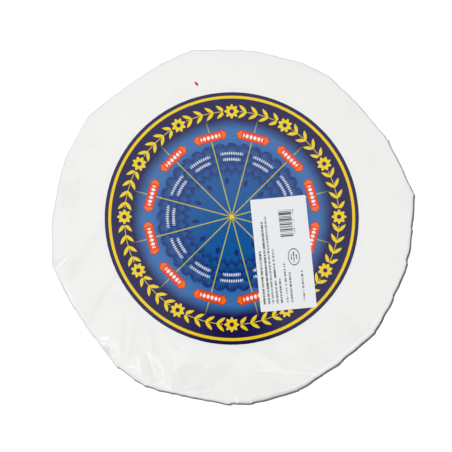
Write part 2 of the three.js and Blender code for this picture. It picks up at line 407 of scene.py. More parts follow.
# Under the wheel each pleat lies on the next, and all of them end round a bare middle.
SOLE_STEP = 0.8
SOLE_FADE_TO = EDGE_RADIUS + 2
SOLE_FADE_OVER = 8
FILM_END = 62
FILM_END_WAVE = 3
FILM_END_WAVES = 5
FILM_END_RIPPLE = 2
FILM_END_RIPPLES = 11
FILM_END_SLANT = 5
FILM_END_EDGE = 1.5
MIDDLE_RISE = 0.5
FACING_DOWN = -0.7
next_gap = np.diff(pleat_turn, append=pleat_turn[0] + math.tau) * CHEESE_RADIUS
gap_here = next_gap[np.searchsorted(pleat_turn, turn, side="right") - 1]
step_left = np.where(on_lip, 0, 1 - after_lip / gap_here)
film_end = FILM_END - FILM_END_SLANT * step_left + FILM_END_WAVE * np.sin(FILM_END_WAVES * turn + 1)
film_end += FILM_END_RIPPLE * np.sin(FILM_END_RIPPLES * turn)
tucked = np.clip((circle[:, None] - film_end) / FILM_END_EDGE, 0, 1)
lapped = step_left * tucked * np.clip((SOLE_FADE_TO - circle[:, None]) / SOLE_FADE_OVER, 0, 1)
under = upward < FACING_DOWN
level = level + np.where(under, SOLE_STEP * lapped + MIDDLE_RISE * (1 - tucked), 0)
# Each lap is painted darker beside the step where it lies on the next, fading across it: a painted
# shade.
painted_light -= np.where(under, lapped, 0)

# The label lies flat, so the film is flat below it.
FLAT_RADIUS = 124
FLAT_FADE = 6
FACING_UP = 0.9
from_label = np.hypot(east - LABEL_FROM_AXIS[0], north - LABEL_FROM_AXIS[1])
lift *= np.where(upward > FACING_UP, np.clip((from_label - FLAT_RADIUS) / FLAT_FADE, 0, 1), 1)
radius = radius + lift * outward
level = level + lift * np.clip(upward, 0, 1)

# Each vertex of the sheet is moved to its own ring and column, and the sheet is shut at its seam.
WELD_GAP = 0.001 * MM
WRAP_SMOOTH = math.radians(38)
made = np.column_stack([
    radius[ring, column] * np.cos(place[ring, column]) * MM + wheel_axis.x,
    radius[ring, column] * np.sin(place[ring, column]) * MM + wheel_axis.y,
    level[ring, column] * MM,
])
wrap.data.vertices.foreach_set("co", made.ravel())
# Each vertex also carries its painted light and shade.
film_painted_light = wrap.data.attributes.new("film_painted_light", "FLOAT", "POINT")
film_painted_light.data.foreach_set("value", painted_light[ring, column].astype(np.float32))
wrap.data.update()
bpy.ops.object.mode_set(mode="EDIT")
bpy.ops.mesh.select_all(action="SELECT")
bpy.ops.mesh.remove_doubles(threshold=WELD_GAP)
bpy.ops.mesh.normals_make_consistent(inside=False)
bpy.ops.object.mode_set(mode="OBJECT")
bpy.ops.object.shade_smooth_by_angle(angle=WRAP_SMOOTH)


def add_node(tree, kind, **settings):
    """A new shader node with its settings."""
    node = tree.nodes.new("ShaderNode" + kind)
    for name, value in settings.items():
        setattr(node, name, value)
    return node


def feed(tree, socket, value):
    """Links a node's output to a socket, or sets the socket to a plain value."""
    if isinstance(value, bpy.types.NodeSocket):
        tree.links.new(value, socket)
    else:
        socket.default_value = value


def figure(tree, operation, *terms):
    """The result of a sum of a node tree."""
    node = add_node(tree, "Math", operation=operation)
    for socket, term in zip(node.inputs, terms):
        feed(tree, socket, term)
    return node.outputs[0]


def squared_length(tree, across, up):
    """Square of the length of a flat vector from its two parts."""
    return figure(tree, "MULTIPLY_ADD", across, across, figure(tree, "MULTIPLY", up, up))


def plain_length(tree, across, up):
    """Length of a flat vector from its two parts."""
    return figure(tree, "SQRT", squared_length(tree, across, up))


def soft_step(tree, value, start, end):
    """A mask that turns from 0 to 1 between two values, or back where start is the larger."""
    node = add_node(tree, "MapRange", interpolation_type="SMOOTHSTEP")
    for socket, term in zip(node.inputs, (value, start, end)):
        feed(tree, socket, term)
    return node.outputs[0]


def paint(tree, under, mask, over):
    """One colour laid over another through a mask."""
    node = add_node(tree, "Mix", data_type="RGBA")
    for index, term in ((0, mask), (6, under), (7, over)):
        feed(tree, node.inputs[index], term)
    return node.outputs[2]


def ink(red, green, blue):
    """A colour as a screen shows it, from 0 to 255, as a socket's value."""
    return (*Color((red / 255, green / 255, blue / 255)).from_srgb_to_scene_linear(), 1)


def local_place(tree, centre, angle=0.0):
    """Object coordinates in millimetres from a piece's own centre, turned by its own angle."""
    source = add_node(tree, "TexCoord")
    mapping = add_node(tree, "Mapping", vector_type="TEXTURE")
    mapping.inputs["Location"].default_value = centre
    mapping.inputs["Rotation"].default_value = (0, 0, angle)
    mapping.inputs["Scale"].default_value = (MM, MM, MM)
    tree.links.new(source.outputs["Object"], mapping.inputs["Vector"])
    return mapping.outputs["Vector"]


def parts_of(tree, vector):
    """The X, Y and Z parts of a vector."""
    node = add_node(tree, "SeparateXYZ")
    tree.links.new(vector, node.inputs[0])
    return node.outputs


def noise(tree, place, scale, detail=2.0):
    """A soft random value from 0 to 1 over the surface."""
    node = add_node(tree, "TexNoise")
    tree.links.new(place, node.inputs["Vector"])
    node.inputs["Scale"].default_value = scale
    node.inputs["Detail"].default_value = detail
    return node.outputs["Fac"]


def new_material(name):
    """A material with its node tree and its Principled shader's sockets."""
    material = bpy.data.materials.new(name)
    material.use_nodes = True
    return material, material.node_tree, material.node_tree.nodes["Principled BSDF"].inputs


# Shared by the film, the label and the sticker: the fine crinkle of a thin sheet, as a height.
CRINKLE_DETAIL = 3
crinkle = bpy.data.node_groups.new("fine_crinkle", "ShaderNodeTree")
crinkle.interface.new_socket("Place", in_out="INPUT", socket_type="NodeSocketVector")
crinkle.interface.new_socket("Size", in_out="INPUT", socket_type="NodeSocketFloat")
crinkle.interface.new_socket("Height", in_out="OUTPUT", socket_type="NodeSocketFloat")
crinkle_in = crinkle.nodes.new("NodeGroupInput")
crinkle_out = crinkle.nodes.new("NodeGroupOutput")
crinkle_facets = add_node(crinkle, "TexVoronoi", feature="SMOOTH_F1")
crinkle_waves = add_node(crinkle, "TexNoise")
crinkle_waves.inputs["Detail"].default_value = CRINKLE_DETAIL
crinkle_scale = figure(crinkle, "DIVIDE", 1.0, crinkle_in.outputs["Size"])
for texture in (crinkle_facets, crinkle_waves):
    crinkle.links.new(crinkle_in.outputs["Place"], texture.inputs["Vector"])
    crinkle.links.new(crinkle_scale, texture.inputs["Scale"])
crinkle_sum = figure(crinkle, "ADD", crinkle_facets.outputs["Distance"], crinkle_waves.outputs["Fac"])
crinkle.links.new(crinkle_sum, crinkle_out.inputs["Height"])


def crinkled(tree, place, size, strength, depth):
    """A surface normal with the fine crinkle of a thin sheet."""
    group = tree.nodes.new("ShaderNodeGroup")
    group.node_tree = crinkle
    feed(tree, group.inputs["Place"], place)
    feed(tree, group.inputs["Size"], size)
    bump = add_node(tree, "Bump")
    bump.inputs["Strength"].default_value = strength
    bump.inputs["Distance"].default_value = depth * MM
    tree.links.new(group.outputs["Height"], bump.inputs["Height"])
    return bump.outputs["Normal"]


# Clear film over white paper: glossy and faintly mottled, with a painted shade in a thin ring round
# the label, the painted light and shade that the wrap's vertices carry, and one stray fleck of red
# print.
FILM_WHITE = (0.785, 0.785, 0.77, 1)
# A greyer white for the mottle and for painted shade, and a paler one for painted highlights.
FILM_MOTTLE_AND_SHADE = (0.725, 0.725, 0.712, 1)
FILM_PAINTED_HIGHLIGHT = (0.93, 0.93, 0.92, 1)
FILM_IOR = 1.48
FILM_ROUGHNESS = (0.16, 0.1)
FILM_CRINKLE = (9.0, 0.25, 0.25)
FILM_TOP_DEPTHS = (-8.0, -4.0)
# A painted shade in a thin ring round the label.
PAINTED_HALO_EDGES = (137.0, 124.0)
PAINTED_HALO_SHARE = 0.5
MOTTLE_NOISE = (0.03, 4.0)
MOTTLE_EDGES = (0.45, 0.8)
MOTTLE_SHARE = 0.6
FLECK_RED = ink(214, 0, 0)
FLECK_PLACE = (-35.3, 134.2)
FLECK_SIZE = (1.55, 2.3)
FLECK_LEAN = 0.5
FLECK_GRAIN = 0.9
FLECK_EDGES = (1.6, 1.2)
film, film_tree, film_sockets = new_material("clear_film_on_paper")
film_sum = functools.partial(figure, film_tree)
film_step = functools.partial(soft_step, film_tree)
film_place = local_place(film_tree, label_centre)
film_x, film_y, film_z = parts_of(film_tree, film_place)
film_top = film_step(film_z, *FILM_TOP_DEPTHS)
painted_halo_shade = film_step(plain_length(film_tree, film_x, film_y), *PAINTED_HALO_EDGES)
painted_halo_shade = film_sum("MULTIPLY", film_sum("MULTIPLY", film_top, painted_halo_shade), PAINTED_HALO_SHARE)
film_mottle = noise(film_tree, film_place, *MOTTLE_NOISE)
mottle_and_painted_halo = film_sum("MAXIMUM", painted_halo_shade, film_step(film_mottle, *MOTTLE_EDGES))
# The painted light and shade from the wrap's vertices: below zero towards the greyer white, above zero
# towards the paler.
painted_light_level = add_node(film_tree, "Attribute", attribute_name="film_painted_light").outputs["Fac"]
mottle_and_painted_shade = film_sum("SUBTRACT", film_sum("MULTIPLY", mottle_and_painted_halo, MOTTLE_SHARE), painted_light_level)
film_white = paint(film_tree, FILM_WHITE, mottle_and_painted_shade, FILM_MOTTLE_AND_SHADE)
film_white = paint(film_tree, film_white, painted_light_level, FILM_PAINTED_HIGHLIGHT)
fleck_up = film_sum("SUBTRACT", film_y, FLECK_PLACE[1])
fleck_aside = film_sum("SUBTRACT", film_x, FLECK_PLACE[0])
fleck_aside = film_sum("MULTIPLY_ADD", fleck_up, FLECK_LEAN, fleck_aside)
fleck_reach = squared_length(
    film_tree,
    film_sum("DIVIDE", fleck_aside, FLECK_SIZE[0]),
    film_sum("DIVIDE", fleck_up, FLECK_SIZE[1]),
)
fleck_reach = film_sum("ADD", fleck_reach, noise(film_tree, film_place, FLECK_GRAIN))
fleck = film_sum("MULTIPLY", film_top, film_step(fleck_reach, *FLECK_EDGES))
feed(film_tree, film_sockets["Base Color"], paint(film_tree, film_white, fleck, FLECK_RED))
feed(film_tree, film_sockets["Roughness"], film_sum("MULTIPLY_ADD", film_mottle, *FILM_ROUGHNESS))
feed(film_tree, film_sockets["Normal"], crinkled(film_tree, film_place, *FILM_CRINKLE))
film_sockets["IOR"].default_value = FILM_IOR
wrap.data.materials.append(film)
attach(wrap, "root")
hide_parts("wrapped_wheel")

# The round label: gloss paper printed in dark blue with a yellow ring, thin lines that mark twelve
# portions, a garland and orange clasps, stuck flat on the film over the middle of the top.
LABEL_RADIUS = 125.5
LABEL_THICKNESS = 0.3
LABEL_SIDES = 256
LABEL_RINGS = 30
LABEL_RING_WIDTH = 4
LABEL_WAVE = 0.05
PAPER_SMOOTH = math.radians(40)
bpy.ops.object.select_all(action="DESELECT")
bpy.ops.mesh.primitive_circle_add(
    vertices=LABEL_SIDES,
    radius=LABEL_RADIUS * MM,
    fill_type="NGON",
    location=(label_centre.x, label_centre.y, label_low.z),
)
label = bpy.context.object
label.name = "printed_label"
bpy.ops.object.transform_apply(location=True)
bpy.ops.object.mode_set(mode="EDIT")
bpy.ops.mesh.select_all(action="SELECT")
bpy.ops.mesh.extrude_region_move(TRANSFORM_OT_translate={"value": (0, 0, LABEL_THICKNESS * MM)})
for _ in range(LABEL_RINGS):
    bpy.ops.mesh.inset(thickness=LABEL_RING_WIDTH * MM)
bpy.ops.mesh.select_all(action="SELECT")
bpy.ops.mesh.remove_doubles(threshold=WELD_GAP)
bpy.ops.mesh.normals_make_consistent(inside=False)
bpy.ops.object.mode_set(mode="OBJECT")
for vertex in label.data.vertices:
    reach = (vertex.co.xy - label_centre.xy) / MM
    if vertex.co.z > label_low.z + 0.5 * LABEL_THICKNESS * MM:
        waves = math.sin(0.05 * reach.x + 1) + math.sin(0.06 * reach.y + 0.03 * reach.x)
        vertex.co.z += LABEL_WAVE * MM * waves
bpy.ops.object.shade_smooth_by_angle(angle=PAPER_SMOOTH)

NAVY = (0.0075, 0.0045, 0.062, 1)
PALE_BLUE = (0.036, 0.138, 0.367, 1)
FIELD_BLUE = (0.002, 0.083, 0.29, 1)
DEEP_BLUE = (0.004, 0.02, 0.13, 1)
GRASS_BLUE = (0.004, 0.045, 0.2, 1)
YELLOW = (0.78, 0.535, 0.0, 1)
GOLD = (0.76, 0.55, 0.01, 1)
LINE_YELLOW = (0.42, 0.4, 0.03, 1)
ORANGE = (0.86, 0.13, 0.004, 1)
RED_ORANGE = (0.72, 0.055, 0.006, 1)
BRICK = (0.3, 0.012, 0.004, 1)
PRINT_WHITE = (0.78, 0.8, 0.82, 1)
PORTIONS = 12
PRINT_EDGE = 0.35
LEAF_EDGES = (1.12, 0.88)
FIELD_STOPS = ((0, FIELD_BLUE), (62, FIELD_BLUE), (80, PALE_BLUE), (87, PALE_BLUE), (98, NAVY))
CLOUD_NOISE = (0.06, 5.0)
CLOUD_SHIFT = 5.0
GRASS_NOISE = (0.55, 6.0)
GRASS_EDGES = (0.42, 0.72)
GRASS_FADE = (68.0, 20.0)
GRASS_STRENGTH = 0.7
gloss, gloss_tree, gloss_sockets = new_material("gloss_label_print")
label_sum = functools.partial(figure, gloss_tree)
label_step = functools.partial(soft_step, gloss_tree)
label_paint = functools.partial(paint, gloss_tree)
label_length = functools.partial(plain_length, gloss_tree)
label_place = local_place(gloss_tree, label_centre)
label_x, label_y, _ = parts_of(gloss_tree, label_place)
label_radius = label_length(label_x, label_y)
label_angle = label_sum("ARCTAN2", label_y, label_x)


def print_band(value, low, high, edge=PRINT_EDGE):
    """A mask of the label's print between two values."""
    rise = label_step(value, low - edge, low + edge)
    return label_sum("MULTIPLY", rise, label_step(value, high + edge, high - edge))


def repeat_round(count, first=0.0):
    """Places from the nearest of some evenly spaced spokes: the arc across and the reach along."""
    turns = label_sum("MULTIPLY_ADD", label_angle, count / math.tau, 0.5 - first * count / math.tau)
    aside = label_sum("SUBTRACT", label_sum("FRACT", turns), 0.5)
    angle = label_sum("MULTIPLY", aside, math.tau / count)
    across = label_sum("MULTIPLY", label_radius, label_sum("SINE", angle))
    reach = label_sum("MULTIPLY", label_radius, label_sum("COSINE", angle))
    return across, reach


def print_leaf(across, reach, middle, tilt, length, width):
    """A pointed leaf of print at a reach along its spoke, tilted to one side."""
    up = label_sum("SUBTRACT", reach, middle)
    rise = label_sum("MULTIPLY", up, math.sin(tilt))
    forth = label_sum("MULTIPLY_ADD", across, math.cos(tilt), rise)
    level_up = label_sum("MULTIPLY", up, math.cos(tilt))
    aside = label_sum("MULTIPLY_ADD", across, -math.sin(tilt), level_up)
    taper = label_sum("POWER", label_sum("DIVIDE", forth, length), 2.0)
    spread = label_sum("ABSOLUTE", label_sum("DIVIDE", aside, width))
    return label_step(label_sum("ADD", spread, taper), *LEAF_EDGES)


# The fields of colour, from the middle out, a little cloudy as the print is.
fields = add_node(gloss_tree, "ValToRGB")
cloud = noise(gloss_tree, label_place, *CLOUD_NOISE)
cloud_base = label_sum("SUBTRACT", label_radius, CLOUD_SHIFT / 2)
cloudy_radius = label_sum("MULTIPLY_ADD", cloud, CLOUD_SHIFT, cloud_base)
gloss_tree.links.new(label_sum("DIVIDE", cloudy_radius, LABEL_RADIUS), fields.inputs["Fac"])
while len(fields.color_ramp.elements) < len(FIELD_STOPS):
    fields.color_ramp.elements.new(0.5)
for element, (reach, colour) in zip(fields.color_ramp.elements, FIELD_STOPS):
    element.position = reach / LABEL_RADIUS
    element.color = colour
print_colour = fields.outputs["Color"]
grass = label_step(noise(gloss_tree, label_place, *GRASS_NOISE), *GRASS_EDGES)
grass_reach = label_sum("MULTIPLY", label_step(label_radius, *GRASS_FADE), GRASS_STRENGTH)
print_colour = label_paint(print_colour, label_sum("MULTIPLY", grass, grass_reach), GRASS_BLUE)

# Rows of dark scales that fade towards the hub, each row half a scale further round than the last,
# and a ring of small diamonds inside them.
SCALES = 36
SCALE_ROWS = ((74.0, 12.0), (65.5, 11.0), (57.0, 10.0), (49.0, 8.0))
SCALE_BOW = 4.5
SCALE_ROUNDNESS = 0.6
SCALE_EDGE = 0.6
SCALE_NOISE = (0.3, 5.0)
SCALE_GRAIN_EDGES = (0.2, 0.55)
DIAMOND_REACH = 36.0
DIAMOND_SIZE = (4.0, 2.2)
scale_grain = label_step(noise(gloss_tree, label_place, *SCALE_NOISE), *SCALE_GRAIN_EDGES)
for row, (row_radius, fade_width) in enumerate(SCALE_ROWS):
    scale_turn = label_sum("MULTIPLY_ADD", label_angle, SCALES / 2, row % 2 * math.pi / 2)
    scale_bow = label_sum("ABSOLUTE", label_sum("COSINE", scale_turn))
    scale_bow = label_sum("POWER", scale_bow, SCALE_ROUNDNESS)
    scale_reach = label_sum("MULTIPLY_ADD", scale_bow, -SCALE_BOW, label_radius)
    scale_top = row_radius - SCALE_BOW
    scale_edge = label_step(scale_reach, scale_top + SCALE_EDGE, scale_top)
    scale_fade = label_step(scale_reach, scale_top - fade_width, scale_top)
    scale_mask = label_sum("MULTIPLY", scale_edge, scale_fade)
    scale_mask = label_sum("MULTIPLY", scale_mask, scale_grain)
    print_colour = label_paint(print_colour, scale_mask, DEEP_BLUE)
diamond_spokes = repeat_round(PORTIONS, math.pi / PORTIONS / 2)
diamonds = print_leaf(*diamond_spokes, DIAMOND_REACH, math.pi / 2, *DIAMOND_SIZE)
print_colour = label_paint(print_colour, diamonds, DEEP_BLUE)

# Two rows of white beads between the portion lines.
BEAD_ROWS = ((57.5, 168, 8.5), (63.5, 180, 11.0))
BEAD_SQUEEZE = 0.5
BEAD_EDGES = (1.0, 0.5)
BEAD_ROW_END = 0.5
BEAD_STRENGTH = 0.75
portion_across, portion_reach = repeat_round(PORTIONS)
for row_radius, bead_count, half_row in BEAD_ROWS:
    bead_across, bead_reach = repeat_round(bead_count)
    bead_up = label_sum("MULTIPLY", label_sum("SUBTRACT", bead_reach, row_radius), BEAD_SQUEEZE)
    bead = label_step(label_length(bead_across, bead_up), *BEAD_EDGES)
    row_aside = label_sum("ABSOLUTE", portion_across)
    in_row = label_step(row_aside, half_row + BEAD_ROW_END, half_row - BEAD_ROW_END)
    bead_mask = label_sum("MULTIPLY", label_sum("MULTIPLY", bead, in_row), BEAD_STRENGTH)
    print_colour = label_paint(print_colour, bead_mask, PRINT_WHITE)

# The twelve portion lines, a clasp with a row of beads across each, and the dot at the hub.
PORTION_LINE_EDGES = (0.75, 0.3)
PORTION_LINE_FADE = (104.0, 84.0)
CLASP_REACH = 82
CLASP_HALF_LENGTH = 17.5
CLASP_HALF_WIDTH = 4.8
CLASP_POINT = 0.75
CLASP_OUTLINE = (0.3, -0.3)
CLASP_FACE_SIDES = (-0.4, -1.0)
CLASP_FACE_ENDS = (-0.5, -1.2)
CLASP_MIDDLE_EDGES = (12.2, 11.6)
CLASP_BEAD_GAP = 4.0
CLASP_BEAD_SQUEEZE = 0.75
CLASP_BEAD_EDGES = (1.7, 1.2)
CLASP_BEAD_ROW = (10.5, 9.5)
HUB_EDGES = (2.6, 1.6)
line_across, line_reach = repeat_round(PORTIONS, math.pi / PORTIONS)
clasp_aside = label_sum("ABSOLUTE", line_across)
line_mask = label_step(clasp_aside, *PORTION_LINE_EDGES)
line_mask = label_sum("MULTIPLY", line_mask, label_step(label_radius, *PORTION_LINE_FADE))
print_colour = label_paint(print_colour, line_mask, LINE_YELLOW)
clasp_up = label_sum("ABSOLUTE", label_sum("SUBTRACT", line_reach, CLASP_REACH))
clasp_point = label_sum("MULTIPLY_ADD", clasp_up, CLASP_POINT, clasp_aside)


def clasp_shape(sides, ends):
    """A mask of the clasp's pointed bar, with its sides and its ends moved out or in."""
    across = label_step(clasp_up, *(CLASP_HALF_WIDTH + side for side in sides))
    along = label_step(clasp_point, *(CLASP_HALF_LENGTH + end for end in ends))
    return label_sum("MULTIPLY", across, along)


clasp_face = clasp_shape(CLASP_FACE_SIDES, CLASP_FACE_ENDS)
clasp_middle = label_sum("MULTIPLY", clasp_face, label_step(clasp_aside, *CLASP_MIDDLE_EDGES))
print_colour = label_paint(print_colour, clasp_shape(CLASP_OUTLINE, CLASP_OUTLINE), BRICK)
print_colour = label_paint(print_colour, clasp_face, ORANGE)
print_colour = label_paint(print_colour, clasp_middle, RED_ORANGE)
clasp_bead_turn = label_sum("DIVIDE", line_across, CLASP_BEAD_GAP)
clasp_bead_aside = label_sum("SUBTRACT", label_sum("FRACT", clasp_bead_turn), 0.5)
clasp_bead = label_length(
    label_sum("MULTIPLY", clasp_bead_aside, CLASP_BEAD_GAP),
    label_sum("MULTIPLY", clasp_up, CLASP_BEAD_SQUEEZE),
)
clasp_bead = label_step(clasp_bead, *CLASP_BEAD_EDGES)
clasp_bead = label_sum("MULTIPLY", clasp_bead, label_step(clasp_aside, *CLASP_BEAD_ROW))
print_colour = label_paint(print_colour, clasp_bead, PRINT_WHITE)
print_colour = label_paint(print_colour, label_step(label_radius, *HUB_EDGES), YELLOW)

# The garland in the dark band: leaves on both sides of a stem, and a round flower to each portion.
# The yellow ring runs outside it.
STEM_RADIUS = 106
STEM_HALF_WIDTH = 0.3
LEAF_PAIRS = 60
LEAF_OFFSET = 3.2
LEAF_TILT = 0.7
LEAF_SIZE = (5.5, 1.65)
PETALS = 8.0
PETAL_DEPTH = 1.1
FLOWER_EDGES = (6.5, 5.9)
FLOWER_EYE = (1.9, 2.5)
FLOWER_GAP = (8.4, 9.0)
YELLOW_RING = (119.1, 121.9)
leaf_spokes = repeat_round(LEAF_PAIRS)
garland = print_band(
    label_radius, STEM_RADIUS - STEM_HALF_WIDTH, STEM_RADIUS + STEM_HALF_WIDTH, STEM_HALF_WIDTH,
)
for side in (1, -1):
    leaf = print_leaf(*leaf_spokes, STEM_RADIUS + side * LEAF_OFFSET, side * LEAF_TILT, *LEAF_SIZE)
    garland = label_sum("MAXIMUM", garland, leaf)
flower_up = label_sum("SUBTRACT", portion_reach, STEM_RADIUS)
flower = label_length(portion_across, flower_up)
flower_angle = label_sum("ARCTAN2", flower_up, portion_across)
petals = label_sum("COSINE", label_sum("MULTIPLY", flower_angle, PETALS))
petal_reach = label_sum("SUBTRACT", flower, label_sum("MULTIPLY", petals, PETAL_DEPTH))
petal_mask = label_step(petal_reach, *FLOWER_EDGES)
flower_mask = label_sum("MULTIPLY", petal_mask, label_step(flower, *FLOWER_EYE))
garland = label_sum("MULTIPLY", garland, label_step(flower, *FLOWER_GAP))
print_colour = label_paint(print_colour, label_sum("MAXIMUM", garland, flower_mask), GOLD)
print_colour = label_paint(print_colour, print_band(label_radius, *YELLOW_RING), YELLOW)

# The gloss over the print.
LABEL_IOR = 1.5
LABEL_ROUGHNESS = (0.05, 0.06)
LABEL_CRINKLE = (26.0, 0.12, 0.3)
feed(gloss_tree, gloss_sockets["Base Color"], print_colour)
feed(gloss_tree, gloss_sockets["Roughness"], label_sum("MULTIPLY_ADD", cloud, *LABEL_ROUGHNESS))
feed(gloss_tree, gloss_sockets["Normal"], crinkled(gloss_tree, label_place, *LABEL_CRINKLE))
gloss_sockets["IOR"].default_value = LABEL_IOR
label.data.materials.append(gloss)
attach(label, "root")
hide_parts("round_label")

# The data sticker: a rectangle of matt white paper with rounded corners and grey thermal print,
# stuck on the label a little askew.
STICKER_WIDTH = 55
STICKER_LENGTH = 111
STICKER_THICKNESS = 0.25
STICKER_CORNER_RADIUS = 1.2
STICKER_CORNER_STEPS = 4
STICKER_TURN = math.radians(5.3)
sticker_low, sticker_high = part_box("data_sticker")
sticker_centre = (sticker_low + sticker_high) / 2
bpy.ops.object.select_all(action="DESELECT")
bpy.ops.mesh.primitive_plane_add(
    size=1, location=(sticker_centre.x, sticker_centre.y, sticker_low.z), rotation=(0, 0, STICKER_TURN),
)
sticker = bpy.context.object
sticker.name = "paper_sticker"
sticker.scale = (STICKER_WIDTH * MM, STICKER_LENGTH * MM, 1)
bpy.ops.object.transform_apply(location=False, rotation=False, scale=True)
bpy.ops.object.mode_set(mode="EDIT")
bpy.ops.mesh.select_all(action="SELECT")
bpy.ops.mesh.bevel(
    offset=STICKER_CORNER_RADIUS * MM, segments=STICKER_CORNER_STEPS, affect="VERTICES",
)
bpy.ops.mesh.select_all(action="SELECT")
bpy.ops.mesh.extrude_region_move(TRANSFORM_OT_translate={"value": (0, 0, STICKER_THICKNESS * MM)})
bpy.ops.mesh.select_all(action="SELECT")
bpy.ops.mesh.normals_make_consistent(inside=False)
bpy.ops.object.mode_set(mode="OBJECT")
bpy.ops.object.transform_apply(location=True, rotation=True, scale=True)
bpy.ops.object.shade_smooth_by_angle(angle=PAPER_SMOOTH)

# One line of print, as a mask: unreadable strokes of uneven length along a straight run.
LINE_FACTS = ("Across", "From", "To", "Half Width", "Fill")
LINE_EDGE = 0.2
STROKE_SPREAD = 7.3
STROKE_NOISE = (0.85, 1.0)
STROKE_EDGES = (0.45, 0.6)
line_group = bpy.data.node_groups.new("print_line", "ShaderNodeTree")
line_group.interface.new_socket("Place", in_out="INPUT", socket_type="NodeSocketVector")
for name in LINE_FACTS:
    line_group.interface.new_socket(name, in_out="INPUT", socket_type="NodeSocketFloat")
line_group.interface.new_socket("Ink", in_out="OUTPUT", socket_type="NodeSocketFloat")
line_in = line_group.nodes.new("NodeGroupInput").outputs
line_out = line_group.nodes.new("NodeGroupOutput")
line_sum = functools.partial(figure, line_group)
line_x, line_y, _ = parts_of(line_group, line_in["Place"])
line_aside = line_sum("ABSOLUTE", line_sum("SUBTRACT", line_x, line_in["Across"]))
line_aside = line_sum("SUBTRACT", line_aside, line_in["Half Width"])
line_side = soft_step(line_group, line_aside, LINE_EDGE, -LINE_EDGE)
line_start = line_sum("GREATER_THAN", line_y, line_in["From"])
line_run = line_sum("MULTIPLY", line_start, line_sum("LESS_THAN", line_y, line_in["To"]))
stroke_place = add_node(line_group, "CombineXYZ")
line_group.links.new(line_y, stroke_place.inputs["X"])
stroke_row = line_sum("MULTIPLY", line_in["Across"], STROKE_SPREAD)
line_group.links.new(stroke_row, stroke_place.inputs["Y"])
stroke = noise(line_group, stroke_place.outputs[0], *STROKE_NOISE)
stroke = line_sum("ADD", stroke, line_in["Fill"])
stroke_mask = line_sum("MULTIPLY", line_side, soft_step(line_group, stroke, *STROKE_EDGES))
line_group.links.new(line_sum("MULTIPLY", stroke_mask, line_run), line_out.inputs["Ink"])

# Matt paper with its print: twelve such lines, a block of plain uneven stripes and a plain oval ring.
PAPER_WHITE = (0.735, 0.75, 0.765, 1)
PAPER_GREY = (0.6, 0.61, 0.62, 1)
PAPER_MOTTLE = 0.12
PAPER_ROUGHNESS = (0.15, 0.42)
FIBRE_NOISE = (0.9, 4.0)
PAPER_CRINKLE = (1.2, 0.1, 0.05)
PRINT_GREY = (0.035, 0.037, 0.04, 1)
PRINT_START = -48.6
PRINT_LINES = (
    (-22.9, PRINT_START, 4.6, 1.05, 0.07), (-18.4, PRINT_START, 32.7, 1.0, 0.1),
    (-14.5, PRINT_START, 38.4, 0.95, 0.04), (-10.2, PRINT_START, 5.1, 0.95, 0.06),
    (-6.0, PRINT_START, -24.3, 0.9, 0.06), (-0.3, PRINT_START, -9.1, 0.95, 0.04),
    (4.2, PRINT_START, -19.3, 0.95, 0.06), (16.3, PRINT_START, -18.7, 0.9, 0.03),
    (13.1, 15.5, 42.5, 0.6, -0.02), (7.4, -7.3, -1.7, 0.6, 0.1),
    (9.9, -9.5, 0.5, 0.65, 0.08), (12.5, -6.8, -2.2, 0.6, 0.1),
)  # across the sticker, where it starts and ends, half width and how full it is
PRINT_STRENGTH = 0.9
STRIPES_CENTRE = (5.3, 29.3)
STRIPES_HALF = (6.35, 13.4)
STRIPES_NOISE = (0.8, 0.0)
STRIPES_EDGES = (0.44, 0.54)
OVAL_CENTRE = (10, -4.5)
OVAL_HALF = (5.5, 8)
OVAL_EDGES = (0.09, 0.03)
paper, paper_tree, paper_sockets = new_material("printed_paper")
paper_sum = functools.partial(figure, paper_tree)
sticker_place = local_place(paper_tree, sticker_centre, STICKER_TURN)
sticker_xy = parts_of(paper_tree, sticker_place)[:2]
print_ink = 0.0
for row in PRINT_LINES:
    group = paper_tree.nodes.new("ShaderNodeGroup")
    group.node_tree = line_group
    feed(paper_tree, group.inputs["Place"], sticker_place)
    for name, value in zip(LINE_FACTS, row):
        feed(paper_tree, group.inputs[name], value)
    line_ink = paper_sum("MULTIPLY", group.outputs["Ink"], PRINT_STRENGTH)
    print_ink = paper_sum("MAXIMUM", print_ink, line_ink)
stripe_place = add_node(paper_tree, "CombineXYZ")
paper_tree.links.new(sticker_xy[1], stripe_place.inputs["X"])
stripe_ink = noise(paper_tree, stripe_place.outputs[0], *STRIPES_NOISE)
stripe_ink = soft_step(paper_tree, stripe_ink, *STRIPES_EDGES)
for part, centre, half in zip(sticker_xy, STRIPES_CENTRE, STRIPES_HALF):
    aside = paper_sum("ABSOLUTE", paper_sum("SUBTRACT", part, centre))
    stripe_ink = paper_sum("MULTIPLY", stripe_ink, paper_sum("LESS_THAN", aside, half))
oval = [
    paper_sum("DIVIDE", paper_sum("SUBTRACT", part, centre), half)
    for part, centre, half in zip(sticker_xy, OVAL_CENTRE, OVAL_HALF)
]
oval_gap = paper_sum("ABSOLUTE", paper_sum("SUBTRACT", plain_length(paper_tree, *oval), 1.0))
oval_ink = soft_step(paper_tree, oval_gap, *OVAL_EDGES)
print_ink = paper_sum("MAXIMUM", print_ink, paper_sum("MAXIMUM", stripe_ink, oval_ink))
paper_fibre = noise(paper_tree, sticker_place, *FIBRE_NOISE)
paper_grey = paper_sum("MULTIPLY", paper_fibre, PAPER_MOTTLE)
paper_shade = paint(paper_tree, PAPER_WHITE, paper_grey, PAPER_GREY)
feed(paper_tree, paper_sockets["Base Color"], paint(paper_tree, paper_shade, print_ink, PRINT_GREY))
feed(paper_tree, paper_sockets["Roughness"], paper_sum("MULTIPLY_ADD", paper_fibre, *PAPER_ROUGHNESS))
feed(paper_tree, paper_sockets["Normal"], crinkled(paper_tree, sticker_place, *PAPER_CRINKLE))
sticker.data.materials.append(paper)
